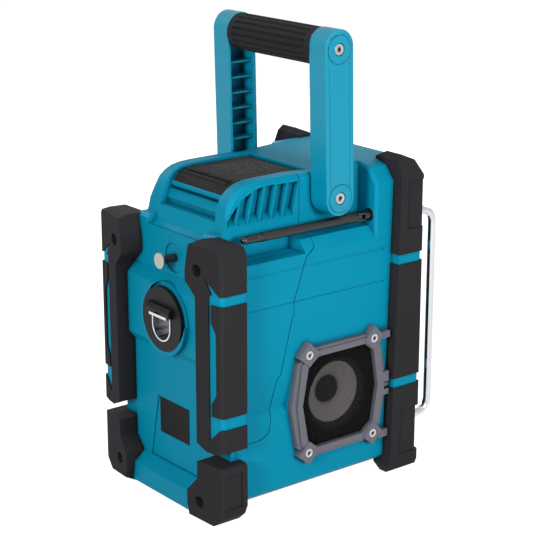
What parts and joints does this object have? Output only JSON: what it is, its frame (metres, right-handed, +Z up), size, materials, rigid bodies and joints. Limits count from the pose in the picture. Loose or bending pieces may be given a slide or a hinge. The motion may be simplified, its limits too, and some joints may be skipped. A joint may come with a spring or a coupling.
{
  "type": "jobsite radio",
  "caption": "Boxy upright jobsite charger radio with rubber corner bumpers, fold-down handle, lidded charging bay, side speakers, aerial and bottle opener",
  "frame": {"origin": "on the ground under the middle of the radio", "axes": "+Z up; the controls face -Y, the opener and rating plate face +Y; -X is the side with the aerial"},
  "size_m": [0.204, 0.2866, 0.4688],
  "materials": {
    "shell_teal": "finely textured satin",
    "handle_teal": "satin, smoother than the shells",
    "bumper_rubber": "matt, moulded",
    "chrome_rod": "polished",
    "screw_steel": "bright zinc",
    "grille_grey": "satin",
    "mesh_black": "perforated, satin black",
    "cone_paper": "pressed paper",
    "basket_steel": "semi matt",
    "magnet_ferrite": "matt",
    "disc_black": "satin",
    "cup_chrome": "polished",
    "magnet_nickel": "satin",
    "label_film": "satin film",
    "grip_rubber": "matt, grooved",
    "tube_aluminium": "plain",
    "washer_black": "smooth",
    "aerial_black": "glossy",
    "aerial_chrome": "polished",
    "pad_black": "matt, dotted",
    "bay_black": "satin",
    "panel_black": "satin",
    "window_clear": "clear",
    "display_green": "smooth",
    "key_grey": "matt",
    "board_green": "satin",
    "case_grey": "plain"
  },
  "bodies": {
    "radio": {"rear_shell": "shell_teal", "front_shell": "shell_teal", "rear_bumper_left": "bumper_rubber", "rear_bumper_right": "bumper_rubber", "rear_boot_left": "bumper_rubber", "rear_boot_right": "bumper_rubber", "front_bumper_left": "bumper_rubber", "front_bumper_right": "bumper_rubber", "bumper_screws": "screw_steel", "guard_bar_left": "chrome_rod", "guard_bar_right": "chrome_rod", "grille_frame_left": "grille_grey", "grille_frame_right": "grille_grey", "grille_mesh_left": "mesh_black", "grille_mesh_right": "mesh_black", "speaker_cone_left": "cone_paper", "speaker_cone_right": "cone_paper", "speaker_basket_left": "basket_steel", "speaker_basket_right": "basket_steel", "speaker_magnet_left": "magnet_ferrite", "speaker_magnet_right": "magnet_ferrite", "grille_screws": "screw_steel", "opener_disc": "disc_black", "opener_cup": "cup_chrome", "cap_magnet": "magnet_nickel", "magnet_post": "magnet_nickel", "rating_plate": "label_film", "pivot_screws": "screw_steel", "pivot_washers": "washer_black", "aerial_mount": "aerial_black", "lid_hinge_pin": "screw_steel", "charger_cradle": "bay_black", "charger_terminals": "bay_black", "control_panel": "panel_black", "display_window": "window_clear", "display_module": "display_green", "port_block": "bay_black", "main_board": "board_green", "power_supply": "case_grey", "cooling_fan": "bay_black"},
    "handle": {"handle_arm_left": "handle_teal", "handle_arm_right": "handle_teal", "handle_grip": "grip_rubber", "grip_tube": "tube_aluminium", "grip_screws": "screw_steel"},
    "lid": {"charger_lid": "shell_teal", "lid_pad": "pad_black"},
    "aerial_knuckle": {"aerial_knuckle": "aerial_black"},
    "aerial_tube": {"aerial_tube": "aerial_black"},
    "aerial_middle": {"aerial_middle": "aerial_chrome"},
    "aerial_tip": {"aerial_tip": "aerial_black"},
    "tuning_knob": {"tuning_knob": "key_grey"},
    "port_cover": {"port_cover": "bumper_rubber"},
    "power_button": {"power_button": "key_grey"},
    "preset_button_1": {"preset_button_1": "key_grey"},
    "preset_button_2": {"preset_button_2": "key_grey"},
    "preset_button_3": {"preset_button_3": "key_grey"},
    "preset_button_4": {"preset_button_4": "key_grey"},
    "preset_button_5": {"preset_button_5": "key_grey"}
  },
  "joints": [
    {"name": "handle_fold", "type": "hinge", "parent": "radio", "child": "handle", "pos_m": [0, -0.0183, 0.305], "axis": [-1, 0, 0], "range_deg": [0, 87]},
    {"name": "lid_hinge", "type": "hinge", "parent": "radio", "child": "lid", "pos_m": [0, -0.004, 0.3205], "axis": [1, 0, 0], "range_deg": [0, 85]},
    {"name": "aerial_swivel", "type": "hinge", "parent": "radio", "child": "aerial_knuckle", "pos_m": [-0.079, -0.05, 0.2802], "axis": [0, 1, 0], "range_deg": [0, 90]},
    {"name": "aerial_fold", "type": "hinge", "parent": "aerial_knuckle", "child": "aerial_tube", "pos_m": [-0.079, -0.05, 0.2802], "axis": [0, 0, 1], "range_deg": [0, 90]},
    {"name": "aerial_slide_middle", "type": "slide", "parent": "aerial_tube", "child": "aerial_middle", "axis": [0, 1, 0], "range_m": [0, 0.056]},
    {"name": "aerial_slide_tip", "type": "slide", "parent": "aerial_middle", "child": "aerial_tip", "axis": [0, 1, 0], "range_m": [0, 0.056]},
    {"name": "tuning_knob_turn", "type": "hinge", "parent": "radio", "child": "tuning_knob", "pos_m": [0.036, -0.126, 0.25], "axis": [0, -1, 0], "continuous": true},
    {"name": "port_cover_hinge", "type": "hinge", "parent": "radio", "child": "port_cover", "pos_m": [0, -0.1235, 0.166], "axis": [-1, 0, 0], "range_deg": [0, 100]},
    {"name": "power_button_press", "type": "slide", "parent": "radio", "child": "power_button", "axis": [0, 1, 0], "range_m": [0, 0.0012], "stiffness_N_per_m": 800, "springref_m": -0.0005},
    {"name": "preset_button_1_press", "type": "slide", "parent": "radio", "child": "preset_button_1", "axis": [0, 1, 0], "range_m": [0, 0.0012], "stiffness_N_per_m": 800, "springref_m": -0.0005},
    {"name": "preset_button_2_press", "type": "slide", "parent": "radio", "child": "preset_button_2", "axis": [0, 1, 0], "range_m": [0, 0.0012], "stiffness_N_per_m": 800, "springref_m": -0.0005},
    {"name": "preset_button_3_press", "type": "slide", "parent": "radio", "child": "preset_button_3", "axis": [0, 1, 0], "range_m": [0, 0.0012], "stiffness_N_per_m": 800, "springref_m": -0.0005},
    {"name": "preset_button_4_press", "type": "slide", "parent": "radio", "child": "preset_button_4", "axis": [0, 1, 0], "range_m": [0, 0.0012], "stiffness_N_per_m": 800, "springref_m": -0.0005},
    {"name": "preset_button_5_press", "type": "slide", "parent": "radio", "child": "preset_button_5", "axis": [0, 1, 0], "range_m": [0, 0.0012], "stiffness_N_per_m": 800, "springref_m": -0.0005}
  ],
  "couplings": [
    {"joint": "aerial_slide_middle", "follows": "aerial_fold", "m_per_rad": 0.035},
    {"joint": "aerial_slide_tip", "follows": "aerial_fold", "m_per_rad": 0.035}
  ]
}
